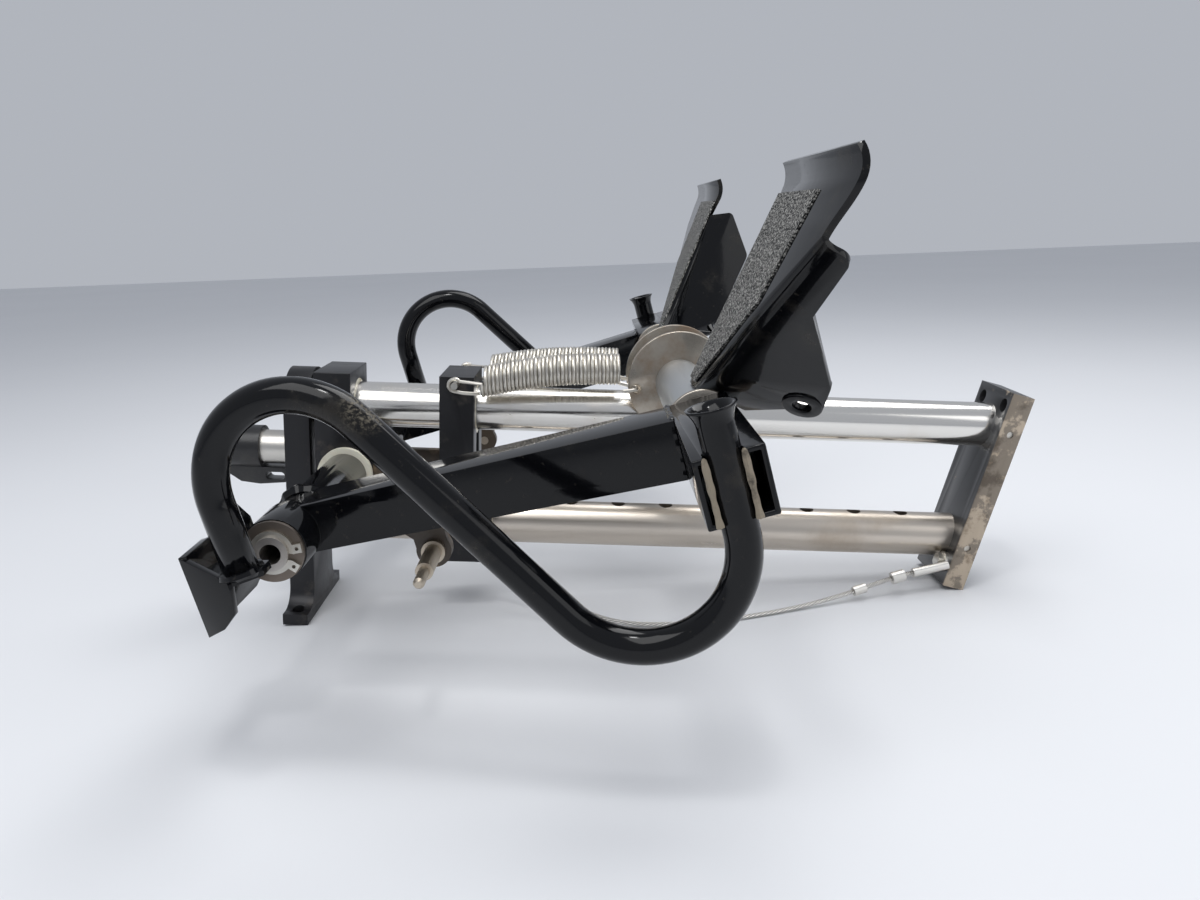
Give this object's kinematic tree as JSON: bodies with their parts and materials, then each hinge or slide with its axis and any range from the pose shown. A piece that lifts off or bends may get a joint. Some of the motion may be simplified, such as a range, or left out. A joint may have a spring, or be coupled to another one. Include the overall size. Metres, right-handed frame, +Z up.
{
  "type": "aircraft rudder pedals",
  "caption": "Adjustable rudder pedals: sled of tubes, sliding lockable carriage, swinging arms with S-shaped cable tubes and toe brake pedals.",
  "frame": {"origin": "middle of the rear foot's lower face, between its bolt holes", "axes": "+X forward along the sled tubes, +Y to the pilot's left, +Z up"},
  "size_m": [0.3658, 0.3708, 0.2032],
  "materials": {
    "anodised_black": "satin black anodised",
    "polished_tube": "polished",
    "worn_tube": "satin worn",
    "plate_paint": "worn black paint",
    "zinc_fastener": "zinc",
    "handle_steel": "brushed",
    "handle_black": "moulded black",
    "cable_steel": "wire rope",
    "nylon": "cream nylon",
    "tie_bar_brown": "dark brown",
    "axle_steel": "turned",
    "dark_washer": "oiled",
    "gloss_black": "gloss black powder coat",
    "cadmium": "cadmium plated",
    "hub_zinc": "dull zinc",
    "disc_steel": "turned steel",
    "grip_tape": "gritty",
    "spring_steel": "bright wire"
  },
  "bodies": {
    "sled": {"rear_foot": "anodised_black", "upper_guide_tube": "polished_tube", "lower_lock_tube": "worn_tube", "front_plate": "plate_paint", "tube_grub_screws": "zinc_fastener", "handle_tube": "handle_steel", "cable_eyelet": "cable_steel", "eyelet_screw": "zinc_fastener", "stop_cable": "cable_steel", "cable_ferrules": "cable_steel"},
    "release": {"release_handle": "handle_black"},
    "carriage": {"rear_carriage_block": "anodised_black", "front_carriage_block": "anodised_black", "guide_bushes": "nylon", "carriage_tie_bar": "tie_bar_brown", "pivot_axle": "axle_steel", "pivot_washers": "dark_washer", "pivot_circlips": "zinc_fastener", "spring_anchor_pin": "zinc_fastener", "right_return_spring": "spring_steel", "left_return_spring": "spring_steel"},
    "lock": {"lock_pin": "zinc_fastener"},
    "right_rudder_arm": {"right_arm": "gloss_black", "right_cross_tube": "gloss_black", "right_s_tube": "gloss_black", "right_s_tube_bracket": "gloss_black", "right_inner_bush": "nylon", "right_outer_bush": "nylon", "right_stud_bracket": "tie_bar_brown", "right_brake_stud": "cadmium", "right_pedal_shaft": "hub_zinc", "right_spring_disc": "disc_steel", "right_hub_washer": "disc_steel"},
    "right_toe_brake": {"right_pedal_hub": "hub_zinc", "right_brake_pedal": "gloss_black", "right_grip_pad": "grip_tape"},
    "left_rudder_arm": {"left_arm": "gloss_black", "left_cross_tube": "gloss_black", "left_s_tube": "gloss_black", "left_s_tube_bracket": "gloss_black", "left_inner_bush": "nylon", "left_outer_bush": "nylon", "left_stud_bracket": "tie_bar_brown", "left_brake_stud": "cadmium", "left_pedal_shaft": "hub_zinc", "left_spring_disc": "disc_steel", "left_hub_washer": "disc_steel"},
    "left_toe_brake": {"left_pedal_hub": "hub_zinc", "left_brake_pedal": "gloss_black", "left_grip_pad": "grip_tape"}
  },
  "joints": [
    {"name": "carriage_slide", "type": "slide", "parent": "sled", "child": "carriage", "axis": [1, 0, 0], "range_m": [0, 0.088], "deforming": ["stop_cable"]},
    {"name": "release_pull", "type": "slide", "parent": "sled", "child": "release", "axis": [-1, 0, 0], "range_m": [0, 0.012], "stiffness_N_per_m": 600, "springref_m": -0.004},
    {"name": "lock_drop", "type": "slide", "parent": "carriage", "child": "lock", "axis": [0, 0, -1], "range_m": [0, 0.006]},
    {"name": "right_rudder_pedal", "type": "hinge", "parent": "carriage", "child": "right_rudder_arm", "pos_m": [0.0213, 0, 0.0675], "axis": [0, -1, 0], "range_deg": [0, 90], "deforming": ["right_return_spring"]},
    {"name": "right_brake_pedal", "type": "hinge", "parent": "right_rudder_arm", "child": "right_toe_brake", "pos_m": [0.16698, 0, 0.1126], "axis": [0, 1, 0], "range_deg": [-10, 30]},
    {"name": "left_rudder_pedal", "type": "hinge", "parent": "carriage", "child": "left_rudder_arm", "pos_m": [0.0213, 0, 0.0675], "axis": [0, -1, 0], "range_deg": [0, 90], "deforming": ["left_return_spring"]},
    {"name": "left_brake_pedal", "type": "hinge", "parent": "left_rudder_arm", "child": "left_toe_brake", "pos_m": [0.16698, 0, 0.1126], "axis": [0, 1, 0], "range_deg": [-10, 30]}
  ]
}
